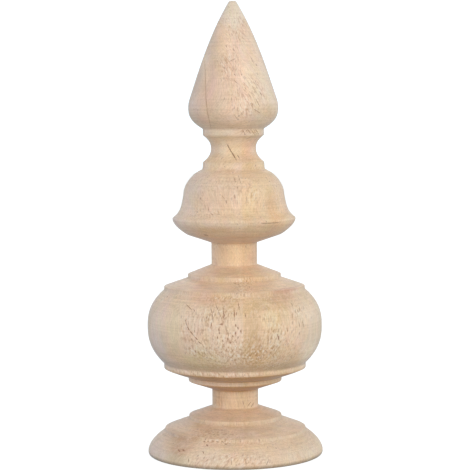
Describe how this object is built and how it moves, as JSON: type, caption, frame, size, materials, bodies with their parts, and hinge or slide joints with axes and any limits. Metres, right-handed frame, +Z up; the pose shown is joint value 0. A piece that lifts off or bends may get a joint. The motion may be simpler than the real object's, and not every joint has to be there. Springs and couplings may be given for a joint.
{
  "type": "post finial",
  "caption": "Turned bare-wood post finial: pointed spike above a bell and a bulb on narrow necks, on a wide moulded round base with a flat underside to sit on a post.",
  "frame": {"origin": "centre of the flat underside", "axes": "+Z up the turning axis to the tip; X and Y across the base"},
  "size_m": [0.0778, 0.0778, 0.2],
  "materials": {
    "bare_wood": "bare, unfinished pale hardwood, sanded, matte with a faint sheen, open pores along the grain"
  },
  "bodies": {
    "root": {"finial": "bare_wood"}
  },
  "joints": []
}
